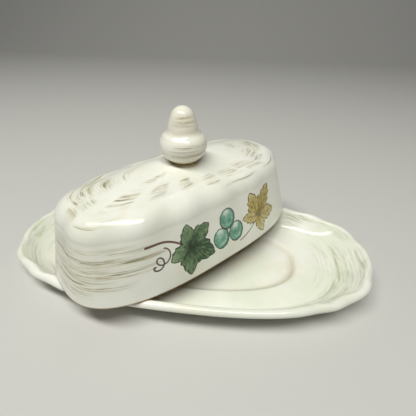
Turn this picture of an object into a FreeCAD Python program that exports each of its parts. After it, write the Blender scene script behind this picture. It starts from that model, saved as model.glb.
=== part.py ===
import FreeCAD, Part
import Sketcher
import math
import os

# Covered butter dish in glazed earthenware: a scalloped oval tray, a long domed cover with a gourd knob
# stuck on with slip. Millimetres, +Z up, X along the tray, origin in the middle of the tray's base.

doc = FreeCAD.newDocument("butter_dish")

# ---------------------------------------------------------------- driving dimensions
SIZES = (
    ("tray_length", 240.0), ("tray_width", 116.4), ("tray_squareness", 2.54),
    ("rim_height", 18.2), ("lip_radius", 2.5), ("tray_wall", 3.8),
    ("floor_length", 192.0), ("floor_width", 92.0), ("floor_height", 6.0), ("floor_fall", 0.4),
    ("well_length", 143.0), ("well_width", 63.0), ("well_depth", 2.0), ("well_step", 2.6),
    ("tray_notch_depth", 1.9), ("tray_notch_spread", 8.0),
    ("cover_length", 175.8), ("cover_width", 88.6), ("cover_squareness", 2.87),
    ("cover_height", 48.4), ("cover_draft", 10.9), ("cover_edge_radius", 11.5), ("cover_crown", 6.3),
    ("cover_wall", 4.5), ("foot_radius", 1.6), ("cover_notch_depth", 1.9), ("cover_notch_spread", 8.0),
    ("cover_turn", 47.8), ("cover_shift_x", -7.4), ("cover_shift_y", 11.9), ("seat_gap", 0.1),
    ("knob_shift_x", 1.55), ("knob_shift_y", 0.35),
    ("knob_foot_radius", 7.6), ("knob_foot_height", 0.3),
    ("knob_bulb_radius", 14.6), ("knob_bulb_height", 10.4), ("knob_under_curve", 10.8),
    ("knob_shoulder_radius", 11.35), ("knob_shoulder_height", 16.95), ("knob_shoulder_curve", 8.23),
    ("knob_neck_radius", 9.2), ("knob_neck_height", 20.37), ("knob_neck_curve", 5.8),
    ("knob_bell_radius", 6.7), ("knob_bell_height", 28.6), ("knob_bell_curve", 46.6),
    ("knob_height", 33.1),
    ("slip_outer_radius", 9.6), ("slip_edge_height", 1.0), ("slip_bead_height", 1.8),
    ("slip_seat_height", 1.5), ("slip_bead_curve", 1.7),
)
sheet = doc.addObject("Spreadsheet::Sheet", "sizes")
for row, (alias, value) in enumerate(SIZES, start=1):
    sheet.set("A%d" % row, alias.replace("_", " "))
    sheet.set("B%d" % row, str(value))
    sheet.setAlias("B%d" % row, alias)
doc.recompute()

ORIGIN = (-1, 1)    # a sketch's own numbers for its origin, an arc's centre and the sketch's two axes
CENTRE = 3
H_AXIS = -1
V_AXIS = -2
OUTLINE_POINTS = 144
TRAY_NOTCHES = (8.5, 21.5, 31.5, 148.5, 158.5, 171.5)    # degrees from +X, repeated on the near side
COVER_NOTCHES = (16.5, 36.0, 62.0, 102.0, 135.0, 156.5, 180.0)
CROWN_SHARES = (0.12, 0.25, 0.4, 0.55, 0.7, 0.8, 0.9)    # of the way from the crown's middle to its edge


def size(alias):
    """The value of one cell of the sheet."""
    return float(sheet.get(alias))


# ---------------------------------------------------------------- scalloped outlines
def oval_point(half_x, half_y, power, angle):
    """A point of a squared oval, in the direction of angle, and the outward normal there."""
    c = math.cos(angle)
    s = math.sin(angle)
    reach = (abs(c / half_x) ** power + abs(s / half_y) ** power) ** (-1 / power)
    point = FreeCAD.Vector(reach * c, reach * s, 0)
    normal = FreeCAD.Vector(
        math.copysign(abs(point.x / half_x) ** (power - 1) / half_x, point.x),
        math.copysign(abs(point.y / half_y) ** (power - 1) / half_y, point.y), 0)
    return point, normal.normalize()


def outline(name, half_x, half_y, power, height, notches, depth, spread):
    """A closed smooth wire round a squared oval, dipping inwards by depth at each notch."""
    dips = []
    for degrees in notches:
        for side in (1, -1):
            dips.append(oval_point(half_x, half_y, power, side * math.radians(degrees))[0])
    points = []
    for k in range(OUTLINE_POINTS):
        turn = 2 * math.pi * k / OUTLINE_POINTS
        angle = math.atan2(half_y * math.sin(turn), half_x * math.cos(turn))
        point, normal = oval_point(half_x, half_y, power, angle)
        nearest = min((point - dip).Length for dip in dips)
        dip_here = depth * math.exp(-(nearest / spread) ** 2)
        points.append(point - normal * dip_here + FreeCAD.Vector(0, 0, height))
    curve = Part.BSplineCurve()
    curve.interpolate(points, PeriodicFlag=True)
    ring = doc.addObject("Part::Feature", name)
    ring.Shape = Part.Wire([curve.toShape()])
    return ring


def skin(label, rings):
    """A solid whose wall runs through the rings in order, closed by flat ends at the first and last."""
    loft = doc.addObject("Part::Loft", label)
    loft.Sections = rings
    loft.Solid = True
    loft.Ruled = True
    loft.Label = label
    return loft


def steps(count, first=0):
    """Evenly spaced shares from 0 to 1, with the first ones left out on request."""
    return [k / count for k in range(first, count + 1)]


# ---------------------------------------------------------------- tray
def tray_stations():
    """(half length, half width, height, share of the notch depth) from the base, out under the floor, over
    the rim and in to the well."""
    rim = (size("tray_length") / 2, size("tray_width") / 2)
    floor = (size("floor_length") / 2, size("floor_width") / 2)
    well = (size("well_length") / 2, size("well_width") / 2)
    lip = size("lip_radius")
    lip_middle = size("rim_height") - lip
    wall = size("tray_wall")
    floor_height = size("floor_height")
    floor_edge = floor_height + size("floor_fall")
    under_height = floor_height - wall
    stations = []

    def add(base, grow, height, notch):
        stations.append((base[0] + grow, base[1] + grow, height, notch))

    def between(inner, outer, grow, share):
        return tuple(a + share * (b + grow - a) for a, b in zip(inner, outer))

    # base: the underside of the well, which the tray stands on, and the step up to the floor's underside
    add(well, wall, 0, 0)
    for share in steps(4, 1):
        add(well, wall + share * under_height, under_height * math.sin(share * math.pi / 2), 0)
    # underside, sweeping up to the lip
    lip_under = lip_middle - 0.75 * lip
    for share in steps(8, 1):
        base = between(floor, rim, -0.65 * lip, share)
        add(base, 0, under_height + (lip_under - under_height) * share ** 1.35, 0.3 * share)
    # the rolled lip, from its underside over the crest to its inside
    for share in steps(12):
        angle = math.radians(-40 + share * 190)
        notch = 0.4 + 0.6 * min(1, 2 * share)
        add(rim, -lip + lip * math.cos(angle), lip_middle + lip * math.sin(angle), notch)
    # inside slope down to the floor
    inside_height = stations[-1][2]
    inset = stations[-1][0] - rim[0]
    for share in steps(9, 1):
        base = between(floor, rim, inset, 1 - share)
        add(base, 0, floor_edge + (inside_height - floor_edge) * (1 - share) ** 1.5, (1 - share) ** 2)
    # the floor falls a little to the well, which is a rounded step down
    half_step = size("well_step") / 2
    for share in steps(8):
        swing = math.cos(share * math.pi)
        add(well, half_step * swing, floor_height - size("well_depth") * (1 - swing) / 2, 0)
    return stations


def make_tray():
    power = size("tray_squareness")
    rings = []
    for k, (half_x, half_y, height, notch) in enumerate(tray_stations()):
        rings.append(outline("tray_ring_%02d" % k, half_x, half_y, power, height, TRAY_NOTCHES,
                             notch * size("tray_notch_depth"), size("tray_notch_spread")))
    return skin("tray", rings)


# ---------------------------------------------------------------- cover
def cover_side(inset):
    """(inset, share of the width, height, share of the notch depth) from the crown's middle down to the
    foot, for the outside of the cover, or for its inside when inset is the wall's thickness."""
    height = size("cover_height") - inset
    radius = size("cover_edge_radius") - inset
    lean = size("cover_draft") / size("cover_height")
    wall_top = height - radius
    foot = size("foot_radius")
    crown_inset = inset + lean * wall_top + radius
    stations = []
    for share in CROWN_SHARES:
        level = height + size("cover_crown") * (1 - share ** 2)
        stations.append((crown_inset, share, level, share ** 3))
    for share in steps(9):
        angle = math.radians(90 * (1 - share))
        level = wall_top + radius * math.sin(angle)
        stations.append((crown_inset - radius * math.cos(angle), 1, level, notch_at(level / height)))
    for share in steps(8, 1):
        level = wall_top + share * (foot - wall_top)
        stations.append((inset + lean * level, 1, level, notch_at(level / height)))
    return stations


def notch_at(rise):
    """The notches are deepest at the cover's top edge and die away down its wall."""
    return rise ** 1.3


def make_cover():
    """One skin: out over the crown, down the wall, round the foot and up the inside."""
    foot = size("foot_radius")
    half_wall = size("cover_wall") / 2
    foot_round = []
    for share in steps(6, 1)[:-1]:
        angle = math.pi * share
        foot_round.append((half_wall * (1 - math.cos(angle)), 1, foot * (1 - math.sin(angle)), 0))
    stations = cover_side(0) + foot_round + cover_side(size("cover_wall"))[::-1]
    rings = []
    for k, (inset, share, height, notch) in enumerate(stations):
        half_x = (size("cover_length") / 2 - inset) * share
        half_y = (size("cover_width") / 2 - inset) * share
        rings.append(outline("cover_ring_%02d" % k, half_x, half_y, size("cover_squareness"), height,
                             COVER_NOTCHES, notch * size("cover_notch_depth"), size("cover_notch_spread")))
    return skin("cover_shell", rings)


# ---------------------------------------------------------------- knob and the slip that holds it
def turned_body(name, corners, curves):
    """A body turned about Z from a closed profile. corners are (radius, height) pairs of cell names, with
    None for zero, and curves gives a side's arc: its radius cell, or None for one centred on the axis, and
    +1 to bulge outwards or -1 inwards."""
    body = doc.addObject("PartDesign::Body", name)
    sketch = body.newObject("Sketcher::SketchObject", name + "_profile")
    upright = next(item for item in body.Origin.OriginFeatures if item.Role == "XZ_Plane")
    sketch.AttachmentSupport = [(upright, "")]
    sketch.MapMode = "FlatFace"
    points = [FreeCAD.Vector(*(size(cell) if cell else 0 for cell in corner), 0) for corner in corners]
    closed = points[1:] + points[:1]
    for k, (start, end) in enumerate(zip(points, closed)):
        if k in curves:
            cell, bulge = curves[k]
            chord = end - start
            radius = size(cell) if cell else chord.Length ** 2 / (2 * chord.y)
            sketch.addGeometry(arc_between(start, end, radius, bulge))
        else:
            sketch.addGeometry(Part.LineSegment(start, end))
    vertices = [vertex_pair(sketch, k, start) for k, start in enumerate(points)]
    for k, corner in enumerate(corners):
        following = (k + 1) % len(corners)
        sketch.addConstraint(Sketcher.Constraint(
            "Coincident", k, vertices[k][1], following, vertices[following][0]))
        for cell, kind, axis in zip(corner, ("DistanceX", "DistanceY"), (V_AXIS, H_AXIS)):
            if cell is None:
                sketch.addConstraint(Sketcher.Constraint("PointOnObject", k, vertices[k][0], axis))
            else:
                bind(sketch, Sketcher.Constraint(kind, *ORIGIN, k, vertices[k][0], size(cell)), cell)
        if k in curves and curves[k][0]:
            cell = curves[k][0]
            bind(sketch, Sketcher.Constraint("Radius", k, size(cell)), cell)
        elif k in curves:
            sketch.addConstraint(Sketcher.Constraint("PointOnObject", k, CENTRE, V_AXIS))
    turned = body.newObject("PartDesign::Revolution", name + "_turned")
    turned.Profile = sketch
    turned.ReferenceAxis = (sketch, ["V_Axis"])
    turned.Angle = 360
    return body


def bind(sketch, constraint, cell):
    """Add a constraint whose value is a cell of the sheet."""
    index = sketch.addConstraint(constraint)
    sketch.setExpression("Constraints[%d]" % index, "sizes." + cell)


def arc_between(start, end, radius, bulge):
    """An arc between two points that bulges to the right of the way it runs (+1) or to the left (-1)."""
    chord = end - start
    side = FreeCAD.Vector(chord.y, -chord.x, 0).normalize()
    rise = radius - math.sqrt(radius ** 2 - (chord.Length / 2) ** 2)
    return Part.Arc(start, (start + end) * 0.5 + side * (bulge * rise), end)


def vertex_pair(sketch, side, start):
    """The sketch's numbers for a side's first and last point, in the order that the profile runs."""
    return (1, 2) if (sketch.getPoint(side, 1) - start).Length < 1e-6 else (2, 1)


def make_knob():
    corners = (
        (None, None),
        ("knob_foot_radius", None),
        ("knob_foot_radius", "knob_foot_height"),
        ("knob_bulb_radius", "knob_bulb_height"),
        ("knob_shoulder_radius", "knob_shoulder_height"),
        ("knob_neck_radius", "knob_neck_height"),
        ("knob_bell_radius", "knob_bell_height"),
        (None, "knob_height"),
    )
    curves = {
        2: ("knob_under_curve", 1),
        3: ("knob_shoulder_curve", 1),
        4: ("knob_neck_curve", -1),
        5: ("knob_bell_curve", 1),
        6: (None, 1),
    }
    return turned_body("knob", corners, curves)


def make_slip_ring():
    """The slip that the knob's foot was pressed into: a low cup with a rounded bead squeezed out round it."""
    corners = (
        (None, None),
        ("slip_outer_radius", None),
        ("slip_outer_radius", "slip_edge_height"),
        ("knob_foot_radius", "slip_bead_height"),
        ("knob_foot_radius", "slip_seat_height"),
        (None, "slip_seat_height"),
    )
    return turned_body("slip_ring", corners, {2: ("slip_bead_curve", -1)})


def place(item, height="", aside=("", "")):
    """Bind an item's Placement to where the cover lies, raised and moved aside by sums of cells."""
    item.setExpression("Placement.Base.x", "sizes.cover_shift_x" + aside[0])
    item.setExpression("Placement.Base.y", "sizes.cover_shift_y" + aside[1])
    item.setExpression("Placement.Base.z", "sizes.rim_height + sizes.seat_gap" + height)
    item.setExpression("Placement.Rotation.Angle", "sizes.cover_turn")


# ---------------------------------------------------------------- the set, as it lies
tray = make_tray()
cover = make_cover()
place(cover)
CROWN = " + sizes.cover_height + sizes.cover_crown"
OFF_CENTRE = (" + sizes.knob_shift_x", " + sizes.knob_shift_y")
slip_ring = make_slip_ring()
place(slip_ring, CROWN + " - sizes.slip_edge_height", OFF_CENTRE)
knob = make_knob()
place(knob, CROWN + " - sizes.slip_edge_height + sizes.slip_seat_height", OFF_CENTRE)
doc.recompute()

knob_slip = doc.addObject("Part::Cut", "knob_slip")
knob_slip.Base = slip_ring
knob_slip.Tool = cover
knob_slip.Label = "knob_slip"
doc.recompute()

for item in doc.Objects:
    if "Invalid" in item.State or "Error" in item.State:
        raise RuntimeError("%s failed: %s" % (item.Name, item.State))

NODES = (tray, cover, knob_slip, knob)
for node in NODES:
    if node.Shape.isNull() or not node.Shape.isValid() or node.Shape.Volume <= 0:
        raise RuntimeError("%s has no valid solid" % node.Label)

os.makedirs("parts", exist_ok=True)
for node in NODES:
    node.Shape.exportStep("parts/%s.step" % node.Label)
    box = node.Shape.BoundBox
    print("%-12s %8.0f mm3  x %7.1f %7.1f  y %7.1f %7.1f  z %7.2f %7.2f" % (
        node.Label, node.Shape.Volume, box.XMin, box.XMax, box.YMin, box.YMax, box.ZMin, box.ZMax))
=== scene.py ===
import math
import bpy
import numpy as np
from mathutils import Matrix, Vector


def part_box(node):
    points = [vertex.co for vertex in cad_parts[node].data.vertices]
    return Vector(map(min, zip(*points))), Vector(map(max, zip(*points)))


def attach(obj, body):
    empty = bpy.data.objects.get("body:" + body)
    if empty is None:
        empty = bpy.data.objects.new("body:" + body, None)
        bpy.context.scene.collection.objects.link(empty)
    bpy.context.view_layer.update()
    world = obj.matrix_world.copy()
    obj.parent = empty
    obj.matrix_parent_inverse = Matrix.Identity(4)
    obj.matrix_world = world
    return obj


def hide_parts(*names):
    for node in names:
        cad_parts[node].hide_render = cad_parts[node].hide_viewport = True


# Covered butter dish in hand-painted glazed earthenware: a scalloped tray, a long domed cover and its knob.
# Shapes are worked out in millimetres, as the potter would measure them, and become metres in make_piece().

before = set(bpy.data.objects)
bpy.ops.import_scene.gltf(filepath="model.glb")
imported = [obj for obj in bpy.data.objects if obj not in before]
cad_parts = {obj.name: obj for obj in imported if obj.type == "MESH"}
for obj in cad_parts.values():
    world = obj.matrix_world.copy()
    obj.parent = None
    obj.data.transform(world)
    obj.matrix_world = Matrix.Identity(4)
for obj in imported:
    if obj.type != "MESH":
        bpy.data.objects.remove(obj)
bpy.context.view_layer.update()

MM = 0.001

# ---------------------------------------------------------------- sizes, the same as the CAD's
TRAY_HALF = np.array([119.95, 58.15])
TRAY_POWER = 2.54
FLOOR_HALF = np.array([96.0, 46.0])
WELL_HALF = np.array([71.5, 31.5])
RIM_HEIGHT, LIP, TRAY_WALL = 18.2, 2.5, 3.8
FLOOR_HEIGHT, FLOOR_FALL = 6.0, 0.4
WELL_DEPTH, WELL_STEP = 2.0, 2.6
TRAY_NOTCHES = (8.5, 21.5, 31.5, 148.5, 158.5, 171.5)
TRAY_NOTCH_DEPTH = 1.9

COVER_HALF = np.array([87.72, 44.12])
COVER_POWER = 2.87
COVER_HEIGHT, COVER_CROWN, EDGE_RADIUS = 48.4, 6.3, 11.5
COVER_LEAN = 10.9 / 48.4
COVER_WALL, FOOT_RADIUS = 4.5, 1.6
COVER_NOTCHES = (16.5, 36.0, 62.0, 102.0, 135.0, 156.5, 180.0)
COVER_NOTCH_DEPTH = 1.9
NOTCH_SPREAD = 8.0
COVER_TURN = math.radians(47.8)
COVER_SHIFT = (-7.4, 11.9)

# (radius, height, radius of the arc that leads there, +1 bulging or -1 hollow, points along it)
KNOB_PROFILE = (
    (7.6, 0.0, None, 0, 6), (7.6, 0.3, None, 0, 1), (14.6, 10.4, 10.8, 1, 30), (11.35, 16.95, 8.23, 1, 16),
    (9.2, 20.37, 5.8, -1, 12), (6.7, 28.6, 46.6, 1, 16), (0.25, 33.09, None, 1, 18),
)
KNOB_TIP_RADIUS = (6.7 ** 2 + 4.5 ** 2) / (2 * 4.5)


# ---------------------------------------------------------------- thrown and pressed shapes
def squared_oval(half, power, turns):
    """Points round a squared oval and the outward normals there; half is (..., 2) and turns is in radians."""
    half = np.asarray(half, float)
    angle = np.arctan2(half[..., 1] * np.sin(turns), half[..., 0] * np.cos(turns))
    heading = np.stack([np.cos(angle), np.sin(angle)], -1)
    reach = (np.abs(heading / half) ** power).sum(-1, keepdims=True) ** (-1 / power)
    points = reach * heading
    normal = np.copysign(np.abs(points / half) ** (power - 1) / half, points)
    return points, normal / np.linalg.norm(normal, axis=-1, keepdims=True)


def dips_at(half, power, notches):
    """The points of a squared oval that its notches are centred on, near and far side."""
    angle = np.radians(np.array(notches + tuple(-n for n in notches)))
    heading = np.stack([np.cos(angle), np.sin(angle)], -1)
    reach = (np.abs(heading / half[:, None, :]) ** power).sum(-1, keepdims=True) ** (-1 / power)
    return reach * heading


def scalloped_rings(stations, power, turns, notches, depth):
    """The rings (stations, points round, 3) of a scalloped wall, in mm. A station is (half length,
    half width, height, share of the notch depth)."""
    stations = np.array(stations, float)
    half = stations[:, :2]
    points, normal = squared_oval(half[:, None, :], power, turns[None, :])
    dips = dips_at(half, power, notches)
    nearest = np.full(points.shape[:2], 1e9)
    for k in range(dips.shape[1]):
        gap = np.linalg.norm(points - dips[:, None, k], axis=-1)
        nearest = np.minimum(nearest, gap)
    dip = depth * stations[:, 3, None] * np.exp(-(nearest / NOTCH_SPREAD) ** 2)
    flat = points - normal * dip[..., None]
    height = np.broadcast_to(stations[:, 2, None], flat.shape[:2])
    return np.concatenate([flat, height[..., None]], -1)


def spaced_turns(half, power, spacing_at):
    """Turns round an oval, closer together where spacing_at(points) says that the painting is fine."""
    turns = np.linspace(0, 2 * math.pi, 20001)
    points = squared_oval(half, power, turns)[0]
    step = np.linalg.norm(np.diff(points, axis=0), axis=1)
    wanted = np.concatenate([[0], np.cumsum(step / spacing_at(points[:-1]))])
    count = int(wanted[-1])
    return np.interp(np.arange(count) * wanted[-1] / count, wanted, turns)


def shares(count, first=0):
    return [k / count for k in range(first, count + 1)]


def tray_stations():
    """From the middle of the base out under the floor, over the rolled rim and in to the well's middle."""
    stations = []

    def add(base, grow, height, notch):
        stations.append((base[0] + grow, base[1] + grow, height, notch))

    under = FLOOR_HEIGHT - TRAY_WALL
    lip_middle = RIM_HEIGHT - LIP
    for share in shares(8, 1)[:-1]:
        add((WELL_HALF + TRAY_WALL) * share, 0, 0, 0)
    for share in shares(6):
        add(WELL_HALF, TRAY_WALL + share * under, under * math.sin(share * math.pi / 2), 0)
    for share in shares(22, 1):
        base = FLOOR_HALF + share * (TRAY_HALF - 0.65 * LIP - FLOOR_HALF)
        add(base, 0, under + (lip_middle - 0.75 * LIP - under) * share ** 1.35, 0.3 * share)
    for share in shares(18):
        angle = math.radians(-40 + share * 190)
        notch = 0.4 + 0.6 * min(1, 2 * share)
        add(TRAY_HALF, -LIP + LIP * math.cos(angle), lip_middle + LIP * math.sin(angle), notch)
    inside_height = stations[-1][2]
    inset = stations[-1][0] - TRAY_HALF[0]
    floor_edge = FLOOR_HEIGHT + FLOOR_FALL
    for share in shares(30, 1):
        base = FLOOR_HALF + (1 - share) * (TRAY_HALF + inset - FLOOR_HALF)
        add(base, 0, floor_edge + (inside_height - floor_edge) * (1 - share) ** 1.5, (1 - share) ** 2)
    for share in shares(14, 1)[:-1]:
        base = FLOOR_HALF + share * (WELL_HALF + WELL_STEP / 2 - FLOOR_HALF)
        add(base, 0, floor_edge - share * FLOOR_FALL, 0)
    for share in shares(14):
        swing = math.cos(share * math.pi)
        add(WELL_HALF, WELL_STEP / 2 * swing, FLOOR_HEIGHT - WELL_DEPTH * (1 - swing) / 2, 0)
    for share in shares(18, 1)[:-1]:
        add((WELL_HALF - WELL_STEP / 2) * (1 - share), 0, FLOOR_HEIGHT - WELL_DEPTH, 0)
    return stations


def cover_side(inset, crown_steps, edge_steps, wall_steps):
    """From the crown's middle down to the foot, outside or, when inset is the wall's thickness, inside."""
    height = COVER_HEIGHT - inset
    radius = EDGE_RADIUS - inset
    wall_top = height - radius
    crown_inset = inset + COVER_LEAN * wall_top + radius
    stations = []

    def add(inwards, share, level, notch):
        half = (COVER_HALF - inwards) * share
        stations.append((half[0], half[1], level, notch))

    for share in shares(crown_steps, 1)[:-1]:
        add(crown_inset, share, height + COVER_CROWN * (1 - share ** 2), share ** 3)
    for share in shares(edge_steps):
        angle = math.radians(90 * (1 - share))
        level = wall_top + radius * math.sin(angle)
        add(crown_inset - radius * math.cos(angle), 1, level, (level / height) ** 1.3)
    for share in shares(wall_steps, 1):
        level = wall_top + share * (FOOT_RADIUS - wall_top)
        add(inset + COVER_LEAN * level, 1, level, (level / height) ** 1.3)
    return stations


def cover_stations():
    """Out over the crown, down the wall, round the foot and up the inside."""
    foot = []
    for share in shares(8, 1)[:-1]:
        angle = math.pi * share
        half = COVER_HALF - COVER_WALL / 2 * (1 - math.cos(angle))
        foot.append((half[0], half[1], FOOT_RADIUS * (1 - math.sin(angle)), 0))
    outside = cover_side(0, 28, 16, 72)
    inside = cover_side(COVER_WALL, 8, 6, 12)[::-1]
    return outside + foot + inside, len(outside)


def arc_points(start, end, radius, bulge, count):
    """Points after start up to end on an arc in the turned profile, or on a straight line."""
    start, end = np.array(start, float), np.array(end, float)
    share = np.arange(1, count + 1)[:, None] / count
    if radius is None:
        return start + (end - start) * share
    chord = end - start
    side = np.array([chord[1], -chord[0]]) / np.linalg.norm(chord)
    centre = (start + end) / 2 - side * bulge * math.sqrt(radius ** 2 - (chord @ chord) / 4)
    a, b = (math.atan2(*(p - centre)[::-1]) for p in (start, end))
    sweep = (b - a + math.pi) % (2 * math.pi) - math.pi
    angle = a + sweep * share[:, 0]
    return centre + radius * np.stack([np.cos(angle), np.sin(angle)], -1)


def knob_rings(around):
    """The knob's turned rings, from the middle of its foot to its tip."""
    profile = [np.array([[0.6, 0.0]])]
    at = (0.6, 0.0)
    for radius, height, curve, bulge, count in KNOB_PROFILE:
        curve = KNOB_TIP_RADIUS if height > 33 else curve
        profile.append(arc_points(at, (radius, height), curve, bulge, count))
        at = (radius, height)
    profile = np.concatenate(profile)
    turns = np.arange(around) * 2 * math.pi / around
    return np.stack([profile[:, :1] * np.cos(turns), profile[:, :1] * np.sin(turns),
                     np.broadcast_to(profile[:, 1:], (len(profile), around))], -1)


def with_middles(values):
    """Per-ring values as one list for the mesh, with the two closing middles' own values at its end."""
    flat = values.reshape(-1, *values.shape[2:])
    return np.concatenate([flat, values[:1].mean(1), values[-1:].mean(1)])


def make_piece(name, rings, body, replaced, turn=0.0, shift=(0, 0, 0)):
    """A closed, smooth-shaded mesh through the rings, ridden on its body and standing for its CAD node."""
    count, around = rings.shape[:2]
    place = np.arange(count * around).reshape(count, around)
    after = np.roll(place, -1, 1)
    quads = np.stack([place[:-1], after[:-1], after[1:], place[1:]], -1).reshape(-1, 4).tolist()
    first, last = count * around, count * around + 1
    quads += [(first, b, a) for a, b in zip(place[0].tolist(), after[0].tolist())]
    quads += [(last, a, b) for a, b in zip(place[-1].tolist(), after[-1].tolist())]
    points = with_middles(rings)
    c, s = math.cos(turn), math.sin(turn)
    points = points @ np.array([[c, s, 0], [-s, c, 0], [0, 0, 1]]) + np.array(shift)
    mesh = bpy.data.meshes.new(name)
    mesh.from_pydata((points * MM).tolist(), [], quads)
    a, b, c3 = (points[np.array([q[k] for q in quads])] for k in range(3))
    if (a * np.cross(b, c3)).sum() < 0:
        mesh.flip_normals()
    mesh.shade_smooth()
    piece = bpy.data.objects.new(name, mesh)
    bpy.context.scene.collection.objects.link(piece)
    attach(piece, body)
    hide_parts(replaced)
    return piece


def keep(piece, name, values):
    """Store one value, or one vector, a vertex for the glaze to read."""
    vector = values.ndim == 2
    layer = piece.data.attributes.new(name, "FLOAT_VECTOR" if vector else "FLOAT", "POINT")
    layer.data.foreach_set("vector" if vector else "value", values.astype(np.float32).ravel())


# ---------------------------------------------------------------- the painter's brush
def brush_marks(marks, degrees, across):
    """How much wash lies on each point. A mark is (turn, half span, across, half width, strength), in
    degrees round the piece and in mm across the stroke; it fades at its ends and is fuller in its middle."""
    wash = np.zeros(degrees.shape)
    for turn, span, middle, width, strength in marks:
        away = (degrees - turn + 180) % 360 - 180
        along = np.clip(1.15 - np.abs(away / span) ** 2.5, 0, 1)
        bow = 0.5 * width * (away / span) ** 2
        beside = np.exp(-((across - middle + bow) / width) ** 2)
        wash = np.maximum(wash, strength * along * beside)
    return wash


def sweep_of(radius, degrees, across):
    """Coordinates that run with the brush: round the piece without a seam, and across the stroke, in mm."""
    turn = np.radians(degrees)
    return np.stack([radius * np.cos(turn), radius * np.sin(turn), across], -1)


# ---------------------------------------------------------------- the painted vine, on the cover's long wall
# A stock vine made by rule: two leaves of five even lobes, a bunch of three equal grapes, bowed stems and a
# curl. Places are (mm along the wall from its middle, mm above the foot).
# A leaf is (root, degrees its middle lobe points, length, degrees between lobes, half width, fullness, teeth,
# how deep the teeth are).
VINE_LEAF = ((-24.0, 22.0), -35.0, 21.0, 62.0, 7.4, 0.75, 4, 0.22)
OCHRE_LEAF = ((34.0, 18.0), 50.0, 22.0, 60.0, 6.8, 0.7, 5, 0.36)
LOBE_SHARES = (1.0, 0.86, 0.66)    # length of the middle lobe, the next pair and the last pair
BUNCH_MIDDLE = (6.0, 20.0)
GRAPE_RADIUS = 6.6
VINE_STEM = ((-49.0, 31.0), (-25.0, 22.5), 3.0)    # start, end, bow to its left
OCHRE_TWIG = ((15.0, 8.0), (33.0, 17.5), -2.0)
CURL = ((-39.0, 27.0), 2.0, 4.0, 1.8, (-7.0, -9.0))    # start, turns, first and last radius, drift


def lobes_of(root, lean, length, spread, width, fullness, teeth, depth):
    """A leaf's blades: one along its lean, then a pair spread to its sides for each further share."""
    blades = []
    for pair, share in enumerate(LOBE_SHARES):
        for side in (1,) if pair == 0 else (1, -1):
            way = math.radians(lean + side * pair * spread)
            reach = share * length
            tip = (root[0] + reach * math.cos(way), root[1] + reach * math.sin(way))
            tone = 0.2 + 0.25 * pair
            blades.append((root, tip, share * width, fullness, teeth, depth, tone))
    return blades


def bunch_of(middle, radius):
    """Three equal grapes that touch, one above two: each is (middle, half height, half width)."""
    grapes = []
    for degrees in (90, 210, 330):
        way = math.radians(degrees)
        place = (middle[0] + 1.1 * radius * math.cos(way), middle[1] + 1.1 * radius * math.sin(way))
        grapes.append((place, radius, 0.92 * radius))
    return grapes


def bowed_line(start, end, bow, count=24):
    """A brushed line from start to end that bows to its left by so many mm."""
    start, end = np.array(start), np.array(end)
    run = end - start
    left = np.array([-run[1], run[0]]) / np.linalg.norm(run)
    t = np.linspace(0, 1, count)[:, None]
    return start + t * run + np.sin(math.pi * t) * bow * left


def curling_line(start, turns, first, last, drift, count=70):
    """A tendril from start: rings that shrink from the first radius to the last as they drift, in mm."""
    t = np.linspace(0, 1, count)
    radius = first + (last - first) * t
    turn = 2 * math.pi * turns * t
    return np.stack([start[0] + drift[0] * t + radius * np.sin(turn),
                     start[1] + drift[1] * t + radius * (np.cos(turn) - 1)], -1)


def blade(u, h, root, tip, half_width, fullness, teeth, depth):
    """(mm inside a leaf's blade, mm to its nearest vein, share of the way to its tip)."""
    root, tip = np.array(root), np.array(tip)
    length = np.linalg.norm(tip - root)
    way = (tip - root) / length
    du, dh = u - root[0], h - root[1]
    share = (du * way[0] + dh * way[1]) / length
    beside = -du * way[1] + dh * way[0]
    inner = np.clip(share, 0, 1)
    profile = np.sin(math.pi * inner ** 0.72) ** fullness
    phase = np.where(beside > 0, 0.3, 0.75)
    saw = (inner * teeth + phase) % 1
    growing = np.clip((inner - 0.22) * 5, 0, 1)
    width = half_width * profile * (1 + depth * (saw ** 1.4 - 0.5) * growing)
    beyond = np.abs(share - inner) * length
    inside = np.where(beyond > 0, -np.hypot(beside, beyond), (width - np.abs(beside)) * 0.88)
    vein = np.where(share < 0.86, np.abs(beside) + 0.25 * share, 9.0)
    for start in (0.08, 0.32, 0.56):
        rise = (share - start) * length - np.abs(beside) * 1.25 - 0.04 * beside ** 2
        reach = np.abs(beside) < 0.72 * width
        vein = np.minimum(vein, np.where(reach & (share < 1), np.abs(rise) * 0.6 + 0.3, 9.0))
    return inside, vein, inner


def leaf_of(u, h, blades):
    """(mm inside the leaf, mm to a vein or to the line between two blades, how light the leaf is there)."""
    edge = np.full(u.shape, -9.0)
    vein = np.full(u.shape, 9.0)
    light = np.zeros(u.shape)
    second = np.full(u.shape, -9.0)
    for root, tip, half_width, fullness, teeth, depth, tone in blades:
        inside, ribs, share = blade(u, h, root, tip, half_width, fullness, teeth, depth)
        ahead = inside > edge
        second = np.where(ahead, edge, np.maximum(second, inside))
        vein = np.where(ahead, ribs, vein)
        light = np.where(ahead, tone + 0.3 * share, light)
        edge = np.maximum(edge, inside)
    between = np.where(second > 0, (edge - second) * 0.6, 9.0)
    return edge, np.minimum(vein, between + 0.3), light


def rays_of(u, h, root):
    """Coordinates that run out from a leaf's middle, as the brush that filled it did, in mm."""
    du, dh = u - root[0], h - root[1]
    reach = np.hypot(du, dh)
    way = np.stack([du, dh], -1) / np.maximum(reach, 0.5)[:, None]
    return np.concatenate([way * 11.0, reach[:, None]], -1)


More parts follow.
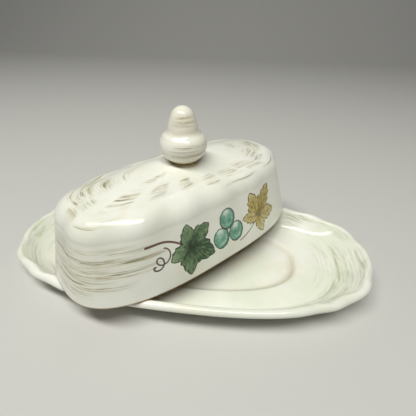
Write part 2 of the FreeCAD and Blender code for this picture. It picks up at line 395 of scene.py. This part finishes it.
def grapes_of(u, h):
    """(mm inside the nearest grape, how light its paint is there): pale at the top and in a crescent low
    on the right, and dark at the rim outside that."""
    edge = np.full(u.shape, -9.0)
    light = np.zeros(u.shape)
    covered = np.full(u.shape, -9.0)
    for middle, long_half, short_half in bunch_of(BUNCH_MIDDLE, GRAPE_RADIUS):
        du, dh = u - middle[0], h - middle[1]
        radius = np.hypot(du / short_half, dh / long_half)
        inside = (1 - radius) * short_half
        inside = np.where(covered > 0, -9.0, np.minimum(inside, -covered - 0.05))
        right_low = np.clip((0.75 * du - 0.65 * dh) / np.maximum(np.hypot(du, dh), 0.1), 0, 1)
        top = np.exp(-((du + 0.6) ** 2 + (dh - 0.72 * long_half) ** 2) / 7.0)
        crescent = np.exp(-((radius - 0.62) / 0.09) ** 2) * right_low
        rim = np.clip((radius - 0.74) * 5, 0, 1) * right_low
        paint = 0.32 + 0.95 * top + 0.6 * crescent - 0.5 * rim
        light = np.where(inside > edge, paint, light)
        covered = np.maximum(covered, (1 - radius) * short_half)
        edge = np.maximum(edge, inside)
    return edge, light


def line_of(u, h, path, thick, thin):
    """mm inside a brushed line that goes from thick to thin, as half widths."""
    inside = np.full(u.shape, -9.0)
    widths = np.linspace(thick, thin, len(path))
    for a, b, width in zip(path[:-1], path[1:], widths):
        run = b - a
        t = np.clip(((u - a[0]) * run[0] + (h - a[1]) * run[1]) / max(run @ run, 1e-9), 0, 1)
        away = np.hypot(u - a[0] - t * run[0], h - a[1] - t * run[1])
        inside = np.maximum(inside, width - away)
    return inside


# ---------------------------------------------------------------- brush marks, as brush_marks() reads them
END_MARKS = (
    (-163, 40, 32.6, 2.0, 0.6), (-135, 13, 31.0, 1.6, 0.6), (-163, 38, 26.6, 1.9, 1.0),
    (-129, 12, 25.2, 1.3, 0.9), (-165, 36, 23.4, 1.4, 0.75), (-158, 41, 19.4, 2.2, 1.0),
    (-166, 32, 16.2, 1.3, 0.7), (-140, 16, 17.6, 1.3, 0.7), (-166, 36, 12.3, 2.2, 1.0),
    (-171, 24, 8.0, 1.4, 0.8), (-146, 18, 12.9, 1.2, 0.6), (-168, 22, 5.2, 0.9, 0.4),
    (-172, 30, 30.0, 1.2, 0.4),
)
FAR_END_MARKS = (
    (14, 36, 31.5, 1.9, 0.6), (16, 34, 26.0, 1.9, 0.95), (30, 18, 23.6, 1.4, 0.7),
    (15, 38, 18.8, 2.2, 1.0), (12, 30, 15.6, 1.3, 0.6), (18, 34, 11.8, 2.1, 0.95),
    (20, 22, 7.8, 1.3, 0.7), (150, 34, 28.5, 1.8, 0.6), (110, 24, 24.0, 1.8, 0.5),
    (70, 26, 17.0, 2.0, 0.6), (125, 30, 12.5, 2.0, 0.7), (95, 28, 31.0, 1.5, 0.4),
)
CROWN_MARKS = (
    (175, 5, 53, 1.7, 1.0), (180, 9, 52.0, 1.5, 0.7), (-176, 9, 50.0, 2.4, 0.7), (-174, 6, 56, 1.5, 0.6),
    (-150, 8, 59.5, 2.6, 1.0), (-149, 10, 48, 1.7, 0.55), (-156, 9, 45.5, 1.4, 0.5),
    (-148, 8, 67, 1.2, 0.8), (-143, 8, 69.5, 1.2, 0.7), (-129, 7, 61.5, 2.0, 1.0),
    (-127, 5, 58.4, 1.3, 0.8), (-107, 6, 60.4, 1.8, 0.95), (-105, 6, 57.4, 1.2, 0.7),
    (-84, 7, 57, 2.0, 1.0), (-85, 6, 53, 1.4, 0.8), (-67, 8, 56, 1.8, 1.0), (-66, 7, 53.0, 1.3, 0.8),
    (-50, 8, 56.5, 2.2, 1.0), (-50, 6, 51.5, 1.8, 0.9), (-36, 8, 54.5, 2.0, 0.8), (-21, 9, 59, 2.2, 0.8),
    (-31, 7, 58, 1.8, 0.8), (-68, 15, 46.5, 0.7, 0.9), (-40, 10, 46.8, 0.8, 0.7),
    (148, 30, 53.0, 1.5, 1.0), (160, 20, 57, 1.5, 0.9), (166, 16, 61.0, 1.5, 0.8),
    (154, 26, 65.5, 1.1, 0.55), (113, 16, 53.5, 1.4, 0.75), (99, 13, 50, 1.3, 0.7),
    (70, 16, 54, 1.5, 0.7), (45, 15, 57, 1.7, 0.8), (20, 17, 54, 1.8, 0.9), (0, 14, 57, 1.8, 0.8),
    (8, 19, 50, 1.8, 0.8), (4, 15, 63, 1.3, 0.6),
)
# On the tray the place across is mm in from the rim.
TRAY_MARKS = (
    (26, 8, 3.6, 1.5, 0.8), (19, 7, 1.6, 1.2, 0.7), (-6, 34, 9.0, 1.6, 0.8), (-28, 16, 10.4, 1.7, 0.7),
    (-6, 20, 6.0, 1.5, 0.8), (2, 9, 3.2, 1.2, 0.7), (-7, 6, 2.8, 1.2, 1.0), (-17, 6, 2.2, 1.2, 1.0),
    (-18, 10, 4.6, 1.3, 0.8), (-31, 9, 7.0, 1.5, 0.9), (-38, 9, 8.6, 1.4, 0.7), (-72, 20, 6.9, 0.9, 0.8),
    (-55, 5, 4.6, 1.1, 0.8), (50, 6, 6.0, 1.3, 0.7), (42, 8, 4.8, 1.2, 0.7), (38, 14, 9.0, 1.4, 0.6),
    (178, 9, 2.2, 1.4, 0.7), (-152, 18, 5.4, 1.6, 0.7), (-178, 8, 5.0, 1.6, 0.8),
    (-155, 10, 2.8, 1.2, 0.6), (165, 16, 6.2, 1.6, 0.8), (150, 14, 4.0, 1.4, 0.8),
    (120, 18, 5.6, 1.2, 0.6), (-110, 20, 6.4, 1.1, 0.6), (80, 16, 5.2, 1.2, 0.6),
    (10, 24, 12.8, 1.5, 0.6), (-140, 14, 9.5, 1.4, 0.5), (-4, 26, 15.6, 1.2, 0.45),
    (172, 24, 10.0, 1.5, 0.6), (-92, 26, 9.4, 1.0, 0.4), (100, 30, 9.0, 1.2, 0.5),
)
# On the knob the place across is the height above its foot.
KNOB_MARKS = (
    (-62, 50, 28.6, 1.0, 1.0), (-72, 60, 26.2, 1.2, 0.8), (-85, 48, 24.2, 0.9, 0.6),
    (-60, 60, 19.6, 0.8, 0.5), (-45, 60, 12.8, 1.2, 0.9), (-30, 80, 8.2, 1.4, 0.95),
    (-75, 40, 10.4, 0.7, 0.5), (30, 50, 18.0, 0.9, 0.3), (120, 60, 23.5, 1.4, 0.8),
    (150, 70, 11.5, 1.3, 0.8), (-150, 40, 15.5, 0.7, 0.2), (-170, 50, 7.0, 1.0, 0.4),
    (60, 60, 28.0, 1.2, 0.8), (70, 70, 13.5, 1.2, 0.7),
)


# ---------------------------------------------------------------- the three formed pieces
UNDERSIDE_RINGS = 41    # rings of the tray before its glazed top begins, at the lip
TRAY_WASH = 0.85    # the tray's wash is wiped thinner than the cover's
TRAY_BRISTLES = 1.5    # how many times finer the bristles are on the tray than on the cover's walls
CROWN_BRISTLES = 1.6    # and on the cover's crown
WALL_TOP = 42    # mm up the cover's side where the finer bristles start
STROKE_RADIUS = 70.0    # mm, the radius that a turn round the tray or the cover is laid out on


def make_tray():
    turns = spaced_turns(TRAY_HALF, TRAY_POWER, lambda points: np.full(len(points), 1.05))
    rings = scalloped_rings(tray_stations(), TRAY_POWER, turns, TRAY_NOTCHES, TRAY_NOTCH_DEPTH)
    piece = make_piece("scalloped_tray", rings, "tray", "tray")
    points = with_middles(rings)
    scaled = points[:, :2] / TRAY_HALF
    inwards = (1 - (np.abs(scaled) ** TRAY_POWER).sum(1) ** (1 / TRAY_POWER)) * TRAY_HALF[1]
    degrees = np.degrees(np.arctan2(scaled[:, 1], scaled[:, 0]))
    ring_number = with_middles(np.broadcast_to(np.arange(len(rings), dtype=float)[:, None], rings.shape[:2]))
    topside = np.clip(ring_number - UNDERSIDE_RINGS, 0, 1)
    keep(piece, "wash", TRAY_WASH * brush_marks(TRAY_MARKS, degrees, inwards) * topside)
    keep(piece, "sweep", sweep_of(STROKE_RADIUS, degrees, TRAY_BRISTLES * inwards))
    step = (np.abs(points[:, :2] / (WELL_HALF - 0.9)) ** TRAY_POWER).sum(1) ** (1 / TRAY_POWER)
    pooled = np.exp(-((step - 1) * WELL_HALF[1] / 1.2) ** 2) * topside
    far_end = np.clip((points[:, 0] - 30) / 40, 0, 1) * np.clip(0.6 - points[:, 1] / 30, 0.25, 1)
    keep(piece, "pooled_glaze_and_painted_shade", pooled * (0.12 + 0.24 * far_end))
    return piece


def fine_on_the_painted_wall(points):
    """mm between columns: close on the near long wall, where the vine is painted, and wider elsewhere."""
    painted = (points[:, 1] < -20) & (np.abs(points[:, 0]) < 68)
    return np.where(painted, 0.48, 1.25)


def make_cover(place):
    turns = spaced_turns(COVER_HALF, COVER_POWER, fine_on_the_painted_wall)
    stations, outside = cover_stations()
    rings = scalloped_rings(stations, COVER_POWER, turns, COVER_NOTCHES, COVER_NOTCH_DEPTH)
    piece = make_piece("domed_cover", rings, "cover", "cover_shell", COVER_TURN, place)
    points = with_middles(rings)
    degrees = np.degrees(np.arctan2(points[:, 1] / COVER_HALF[1], points[:, 0] / COVER_HALF[0]))
    ring_number = with_middles(np.broadcast_to(np.arange(len(rings), dtype=float)[:, None], rings.shape[:2]))
    skin_side = (ring_number < outside) * 1.0
    skin_side[-1] = 0
    # mm up the wall, round the edge and on over the crown
    side = rings[:outside, np.argmin(np.abs(turns - 1.5 * math.pi))]
    steps = np.concatenate([[0], np.cumsum(np.linalg.norm(np.diff(side[::-1], axis=0), axis=1))])[::-1]
    upwards = np.concatenate([steps, np.zeros(len(rings) - outside)])
    across = with_middles(np.broadcast_to(upwards[:, None], rings.shape[:2]))
    marks = brush_marks(END_MARKS + FAR_END_MARKS + CROWN_MARKS, degrees, across)
    keep(piece, "wash", marks * skin_side)
    fine_brush = np.where(across > WALL_TOP, WALL_TOP + CROWN_BRISTLES * (across - WALL_TOP), across)
    keep(piece, "sweep", sweep_of(STROKE_RADIUS, degrees, fine_brush))
    u, h = points[:, 0], points[:, 2]
    wall = (points[:, 1] < -12) & (skin_side > 0) & (h < 46)
    away = np.full(len(points), -9.0)
    edges = ("vine_edge", "ochre_edge", "grape_edge", "vine_line", "fine_line")
    fields = {name: away.copy() for name in edges}
    fields.update({name: -away for name in ("vine_rib", "ochre_rib")})
    fields.update({name: np.zeros(len(points)) for name in ("vine_light", "ochre_light", "grape_light")})
    fields.update({name: np.zeros((len(points), 3)) for name in ("vine_rays", "ochre_rays")})
    uw, hw = u[wall], h[wall]
    for leaf, rule in (("vine", VINE_LEAF), ("ochre", OCHRE_LEAF)):
        edge, rib, light = leaf_of(uw, hw, lobes_of(*rule))
        rays = rays_of(uw, hw, rule[0])
        fields[leaf + "_edge"][wall] = edge
        fields[leaf + "_rib"][wall] = rib
        fields[leaf + "_light"][wall] = light - 0.5 * np.exp(-(rays[:, 2] / 4.5) ** 2)
        fields[leaf + "_rays"][wall] = rays
    fields["grape_edge"][wall], fields["grape_light"][wall] = grapes_of(uw, hw)
    fields["vine_line"][wall] = line_of(uw, hw, bowed_line(*VINE_STEM), 0.75, 0.6)
    curl = line_of(uw, hw, curling_line(*CURL), 0.42, 0.55)
    twig = line_of(uw, hw, bowed_line(*OCHRE_TWIG), 0.4, 0.32)
    fields["fine_line"][wall] = np.maximum(curl, twig)
    for name, values in fields.items():
        keep(piece, name, values)
    # Painted warm shade: the whole inside of the cover is tinted brown so that the shade under it comes out
    # warm. The lowest mm or so of the outside is tinted partly for thin glaze at the foot and partly as
    # painted warm bounce light and shade.
    keep(piece, "pooled_glaze_and_painted_shade", np.where(skin_side > 0, 0.35 * np.exp(-(h / 1.2) ** 2), 1.0))
    return piece


def make_knob(middle):
    rings = knob_rings(128)
    piece = make_piece("gourd_knob", rings, "cover", "knob", 0.0, middle)
    points = with_middles(rings)
    degrees = np.degrees(np.arctan2(points[:, 1], points[:, 0]))
    keep(piece, "wash", brush_marks(KNOB_MARKS, degrees, points[:, 2]))
    keep(piece, "sweep", sweep_of(12.0, degrees, points[:, 2]))
    # Painted shade, partly glaze lying thicker there: a brown tint low on the knob under its bulb, and a
    # faint one round its neck.
    low = np.exp(-(points[:, 2] / 5.0) ** 2)
    neck = np.exp(-((points[:, 2] - 20.0) / 2.4) ** 2)
    keep(piece, "pooled_glaze_and_painted_shade", 0.3 * low + 0.08 * neck)
    return piece


# ---------------------------------------------------------------- glazes
def shade(code):
    """An sRGB hex value as a linear colour."""
    parts = [int(code[k:k + 2], 16) / 255 for k in (1, 3, 5)]
    return tuple(p / 12.92 if p <= 0.04045 else ((p + 0.055) / 1.055) ** 2.4 for p in parts) + (1.0,)


def node(tree, kind, sockets=None, out=None, **settings):
    """Add a node with its settings and links, and give the output that the next one reads."""
    made = tree.nodes.new("ShaderNode" + kind)
    for setting, value in settings.items():
        setattr(made, setting, value)
    for key, value in (sockets or {}).items():
        named = (i for i in made.inputs if i.name == key and i.enabled)
        socket = made.inputs[key] if isinstance(key, int) else next(named)
        if isinstance(value, bpy.types.NodeSocket):
            tree.links.new(value, socket)
        else:
            socket.default_value = value
    return made.outputs[out] if out else next((o for o in made.outputs if o.enabled), None)


def ivory_ground(tree, thin):
    """Ivory glaze over a pale earthenware body, poured on and fired: nearly white where it is thick, a
    little darker where it is thin, with soft clouds some 30 mm across and a few fine iron specks."""
    place = node(tree, "TexCoord", out="Object")
    clouds = node(tree, "TexNoise", {"Vector": place, "Scale": 34.0, "Detail": 3.0, "Roughness": 0.55})
    cloudy = node(tree, "MapRange", {0: clouds, 1: 0.35, 2: 0.7}, interpolation_type="SMOOTHSTEP")
    ground = node(tree, "Mix", {"Factor": cloudy, "A": shade("#F6F6EC"), "B": shade(thin)}, data_type="RGBA")
    warm = node(tree, "TexNoise", {"Vector": place, "Scale": 48.0, "Detail": 2.0, "Distortion": 0.6})
    warmth = node(tree, "MapRange", {0: warm, 1: 0.55, 2: 0.78, 4: 0.35}, interpolation_type="SMOOTHSTEP")
    ground = node(tree, "Mix", {"Factor": warmth, "A": ground, "B": shade("#F2E8CE")}, data_type="RGBA")
    cells = node(tree, "TexVoronoi", {"Vector": place, "Scale": 190.0, "Randomness": 1.0}, out="Distance")
    picked = node(tree, "TexNoise", {"Vector": place, "Scale": 120.0})
    specks = node(tree, "MapRange", {0: cells, 1: 0.05, 2: 0.1, 3: 1.0, 4: 0.0},
                  interpolation_type="SMOOTHSTEP")
    rare = node(tree, "MapRange", {0: picked, 1: 0.58, 2: 0.66, 4: 0.55})
    speckled = node(tree, "Math", {0: specks, 1: rare}, operation="MULTIPLY")
    ground = node(tree, "Mix", {"Factor": speckled, "A": ground, "B": shade("#9A7F55")}, data_type="RGBA")
    # The brown mixed in here is glaze pooled at the foot of the tray's well step, and painted warm shade
    # inside the cover, along its foot, low on the knob and round its neck.
    pooled_glaze_and_painted_shade = node(tree, "Attribute", out="Fac", attribute_name="pooled_glaze_and_painted_shade")
    return node(tree, "Mix", {"Factor": pooled_glaze_and_painted_shade, "A": ground, "B": shade("#A9863F")}, data_type="RGBA")


def brushed_wash(tree, ground, thick, thin):
    """Thin stain dragged on with a coarse brush and half wiped off: the bristles, under 1 mm apart, leave
    lines some 30 mm long that break up along the stroke, olive where they are full and ochre where thin."""
    sweep = node(tree, "Attribute", out="Vector", attribute_name="sweep")
    wash = node(tree, "Attribute", out="Fac", attribute_name="wash")
    drawn = node(tree, "VectorMath", {0: sweep, 1: (0.022, 0.022, 1.15)}, operation="MULTIPLY")
    bristles = node(tree, "TexNoise", {"Vector": drawn, "Scale": 1.0, "Detail": 5.0, "Roughness": 0.74})
    long_marks = node(tree, "VectorMath", {0: sweep, 1: (0.05, 0.05, 0.5)}, operation="MULTIPLY")
    breaks = node(tree, "TexNoise", {"Vector": long_marks, "Scale": 1.0, "Detail": 3.0, "Roughness": 0.6})
    lines = node(tree, "MapRange", {0: bristles, 1: 0.43, 2: 0.58, 3: 0.03, 4: 1.0},
                 interpolation_type="SMOOTHSTEP")
    gaps = node(tree, "MapRange", {0: breaks, 1: 0.34, 2: 0.58, 3: 0.4, 4: 1.15},
                interpolation_type="SMOOTHSTEP")
    broken = node(tree, "Math", {0: lines, 1: gaps}, operation="MULTIPLY")
    marks = node(tree, "Math", {0: wash, 1: broken}, operation="MULTIPLY", use_clamp=True)
    haze = node(tree, "MapRange", {0: bristles, 1: 0.56, 2: 0.76, 4: 0.06}, interpolation_type="SMOOTHSTEP")
    film = node(tree, "Math", {0: marks, 1: haze}, operation="MAXIMUM")
    hue = node(tree, "MapRange", {0: breaks, 1: 0.4, 2: 0.62}, interpolation_type="SMOOTHSTEP")
    stain = node(tree, "Mix", {"Factor": hue, "A": shade(thin), "B": shade(thick)}, data_type="RGBA")
    return node(tree, "Mix", {"Factor": film, "A": ground, "B": stain}, data_type="RGBA")


def gloss(tree, colour):
    """Fired gloss: IOR 1.5, a roughness of about 0.2 that drifts over 20 mm, and a skin that ripples
    by a few hundredths of a millimetre over 7 mm, as poured glaze does."""
    place = node(tree, "TexCoord", out="Object")
    drift = node(tree, "TexNoise", {"Vector": place, "Scale": 50.0, "Detail": 2.0})
    rough = node(tree, "MapRange", {0: drift, 1: 0.3, 2: 0.7, 3: 0.16, 4: 0.28})
    ripple = node(tree, "TexNoise", {"Vector": place, "Scale": 140.0, "Detail": 2.0, "Roughness": 0.4})
    skin = node(tree, "Bump", {"Height": ripple, "Strength": 0.5, "Distance": 0.00012})
    surface = node(tree, "BsdfPrincipled", {
        "Base Color": colour, "Roughness": rough, "IOR": 1.5, "Normal": skin})
    node(tree, "OutputMaterial", {"Surface": surface})


def start_finish(name):
    finish = bpy.data.materials.new(name)
    finish.use_nodes = True
    finish.node_tree.nodes.clear()
    return finish, finish.node_tree


def brushed_ivory_glaze(name, thin_glaze, thick_wash, thin_wash):
    """The tray's and the knob's finish: ivory glaze with brush marks."""
    finish, tree = start_finish(name)
    gloss(tree, brushed_wash(tree, ivory_ground(tree, thin_glaze), thick_wash, thin_wash))
    return finish


def painted(tree, ground, shape, dark, middle, light, line, veined):
    """One underglaze shape laid over the ground: a watery fill that clouds over 3 mm and streaks outwards
    with the brush, soft veins where the paint is thick, and an outline some 0.7 mm wide that thins here
    and there."""
    place = node(tree, "TexCoord", out="Object")
    edge = node(tree, "Attribute", out="Fac", attribute_name=shape + "_edge")
    rib = node(tree, "Attribute", out="Fac", attribute_name=shape + "_rib")
    lift = node(tree, "Attribute", out="Fac", attribute_name=shape + "_light")
    rays = node(tree, "Attribute", out="Vector", attribute_name=shape + "_rays")
    hand = node(tree, "TexNoise", {"Vector": place, "Scale": 420.0, "Detail": 2.0})
    shake = node(tree, "MapRange", {0: hand, 3: -0.3, 4: 0.3})
    wavering = node(tree, "Math", {0: edge, 1: shake})
    cloud = node(tree, "TexNoise", {"Vector": place, "Scale": 320.0, "Detail": 5.0, "Roughness": 0.68})
    drawn = node(tree, "VectorMath", {0: rays, 1: (1.0, 1.0, 0.13)}, operation="MULTIPLY")
    streaks = node(tree, "TexNoise", {"Vector": drawn, "Scale": 1.1, "Detail": 4.0, "Roughness": 0.66})
    tone = node(tree, "Math", {0: cloud, 1: 2.0, 2: -1.0}, operation="MULTIPLY_ADD")
    tone = node(tree, "Math", {0: streaks, 1: 2.4, 2: tone}, operation="MULTIPLY_ADD")
    tone = node(tree, "Math", {0: tone, 1: 1.2}, operation="SUBTRACT")
    tone = node(tree, "Math", {0: tone, 1: lift})
    low = node(tree, "MapRange", {0: tone, 1: -0.1, 2: 0.45})
    high = node(tree, "MapRange", {0: tone, 1: 0.4, 2: 1.15})
    fill = node(tree, "Mix", {"Factor": low, "A": shade(dark), "B": shade(middle)}, data_type="RGBA")
    fill = node(tree, "Mix", {"Factor": high, "A": fill, "B": shade(light)}, data_type="RGBA")
    veins = node(tree, "MapRange", {0: rib, 1: 0.15, 2: 1.0, 3: veined, 4: 0.0},
                 interpolation_type="SMOOTHSTEP")
    fill = node(tree, "Mix", {"Factor": veins, "A": fill, "B": shade(line)}, data_type="RGBA")
    laid = node(tree, "MapRange", {0: wavering, 1: -0.15, 2: 0.2}, interpolation_type="SMOOTHSTEP")
    ground = node(tree, "Mix", {"Factor": laid, "A": ground, "B": fill}, data_type="RGBA")
    off = node(tree, "Math", {0: wavering, 1: 0.1}, operation="SUBTRACT")
    off = node(tree, "Math", {0: off}, operation="ABSOLUTE")
    thick = node(tree, "MapRange", {0: cloud, 1: 0.35, 2: 0.65, 3: 0.12, 4: 0.5})
    ring = node(tree, "Math", {0: thick, 1: off}, operation="SUBTRACT")
    outline = node(tree, "MapRange", {0: ring, 1: -0.14, 2: 0.14, 4: 0.95}, interpolation_type="SMOOTHSTEP")
    return node(tree, "Mix", {"Factor": outline, "A": ground, "B": shade(line)}, data_type="RGBA")


def vine_painted_glaze():
    """The cover's finish: the same ivory glaze, with a green leaf, an ochre leaf, three grapes, stems and a
    curl painted by hand in green, ochre, blue-green and manganese brown under it."""
    finish, tree = start_finish("vine_painted_ivory_glaze")
    ground = brushed_wash(tree, ivory_ground(tree, "#EDEEDF"), "#797A50", "#B0984E")
    for line_name, brown in (("vine_line", "#5E3A29"), ("fine_line", "#40241A")):
        line = node(tree, "Attribute", out="Fac", attribute_name=line_name)
        drawn = node(tree, "MapRange", {0: line, 1: -0.16, 2: 0.2, 4: 0.94}, interpolation_type="SMOOTHSTEP")
        ground = node(tree, "Mix", {"Factor": drawn, "A": ground, "B": shade(brown)}, data_type="RGBA")
    ground = painted(tree, ground, "grape", "#44806C", "#78B09A", "#DCEEDE", "#37382C", 0.0)
    ground = painted(tree, ground, "ochre", "#85702C", "#C0A94E", "#E0D6A6", "#46331C", 0.42)
    ground = painted(tree, ground, "vine", "#22362A", "#40603D", "#8FAA7F", "#2A1A12", 0.22)
    gloss(tree, ground)
    return finish


def slip_glaze():
    """Slip squeezed out under the knob and glazed with it: the glaze lies thick and brown in the joint."""
    finish, tree = start_finish("pooled_glaze_over_slip")
    place = node(tree, "TexCoord", out="Object")
    clouds = node(tree, "TexNoise", {"Vector": place, "Scale": 260.0, "Detail": 3.0})
    colour = node(tree, "Mix", {"Factor": clouds, "A": shade("#C6AE80"), "B": shade("#E2D2AA")},
                  data_type="RGBA")
    gloss(tree, colour)
    return finish


# ---------------------------------------------------------------- the set
seat_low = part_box("cover_shell")[0]
knob_low, knob_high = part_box("knob")
knob_x = (knob_low.x + knob_high.x) / 2 / MM
knob_y = (knob_low.y + knob_high.y) / 2 / MM

tray = make_tray()
cover = make_cover(COVER_SHIFT + (seat_low.z / MM,))
knob = make_knob((knob_x, knob_y, knob_low.z / MM))
tray_finish = brushed_ivory_glaze("brushed_ivory_glaze", "#EAEEDC", "#A7B38A", "#C4C8A0")
knob_finish = brushed_ivory_glaze("brushed_ivory_glaze_of_the_knob", "#F0EAD6", "#8C8664", "#B8A472")
tray.data.materials.append(tray_finish)
knob.data.materials.append(knob_finish)
cover.data.materials.append(vine_painted_glaze())
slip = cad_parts["knob_slip"]
slip_finish = slip_glaze()
for entry in slip.material_slots:
    entry.material = slip_finish

# ---------------------------------------------------------------- studio
def make_stage():
    """A pale paper sweep: flat under the dish, curving up well behind it."""
    profile = [(-2.6, 0.0), (0.9, 0.0)]
    profile += [(0.9 + 0.6 * math.sin(a), 0.6 - 0.6 * math.cos(a)) for a in np.linspace(0.1, math.pi / 2, 12)]
    profile += [(1.5, 2.6)]
    points = [(x, y, z - 0.00006) for y, z in profile for x in (-2.6, 2.6)]
    faces = [(2 * k, 2 * k + 1, 2 * k + 3, 2 * k + 2) for k in range(len(profile) - 1)]
    mesh = bpy.data.meshes.new("paper_sweep")
    mesh.from_pydata(points, [], faces)
    mesh.shade_smooth()
    stage = bpy.data.objects.new("paper_sweep", mesh)
    bpy.context.scene.collection.objects.link(stage)
    finish, tree = start_finish("matt_pale_paper")
    surface = node(tree, "BsdfPrincipled", {"Base Color": shade("#CFCECA"), "Roughness": 0.9, "IOR": 1.4})
    node(tree, "OutputMaterial", {"Surface": surface})
    mesh.materials.append(finish)


def make_light(name, place, aim, size, watts, colour):
    lamp = bpy.data.lights.new(name, "AREA")
    lamp.shape = "RECTANGLE"
    lamp.size, lamp.size_y = size
    lamp.energy = watts
    lamp.color = shade(colour)[:3]
    holder = bpy.data.objects.new(name, lamp)
    holder.location = place
    holder.rotation_euler = (Vector(aim) - Vector(place)).to_track_quat("-Z", "Y").to_euler()
    bpy.context.scene.collection.objects.link(holder)


make_stage()
SOFTBOX_PLACE, SOFTBOX_AIM = (-0.08, -0.33, 1.09), (0.0, 0.0, 0.04)    # metres
SOFTBOX_SIZE, SOFTBOX_WATTS = (1.25, 0.18), 13.8
make_light("long_softbox", SOFTBOX_PLACE, SOFTBOX_AIM, SOFTBOX_SIZE, SOFTBOX_WATTS, "#FFFFFA")
world = bpy.data.worlds.new("studio_air")
world.use_nodes = True
air = world.node_tree
air.nodes.clear()
ROOM_FILL = 0.07
fill_light = node(air, "Background", {"Color": shade("#F4F6FA"), "Strength": ROOM_FILL})
node(air, "OutputWorld", {"Surface": fill_light})
bpy.context.scene.world = world
bpy.context.scene.view_settings.view_transform = "Standard"

# ---------------------------------------------------------------- camera
lens = bpy.data.cameras.new("camera")
SENSOR_WIDTH, FOCAL_LENGTH = 36.0, 26.69    # mm
lens.sensor_width = SENSOR_WIDTH
lens.lens = FOCAL_LENGTH
lens.clip_start = 0.01
camera = bpy.data.objects.new("camera", lens)
HEADING, PITCH, ROLL = 0.119, 0.596, 0.016    # radians
CAMERA_PLACE = (0.03091, -0.16278, 0.1572)
turned = Matrix.Rotation(HEADING, 4, "Z")
tilted = Matrix.Rotation(math.pi / 2 - PITCH, 4, "X")
rolled = Matrix.Rotation(ROLL, 4, "Z")
camera.matrix_world = Matrix.Translation(CAMERA_PLACE) @ (turned @ tilted @ rolled)
bpy.context.scene.collection.objects.link(camera)
bpy.context.scene.camera = camera
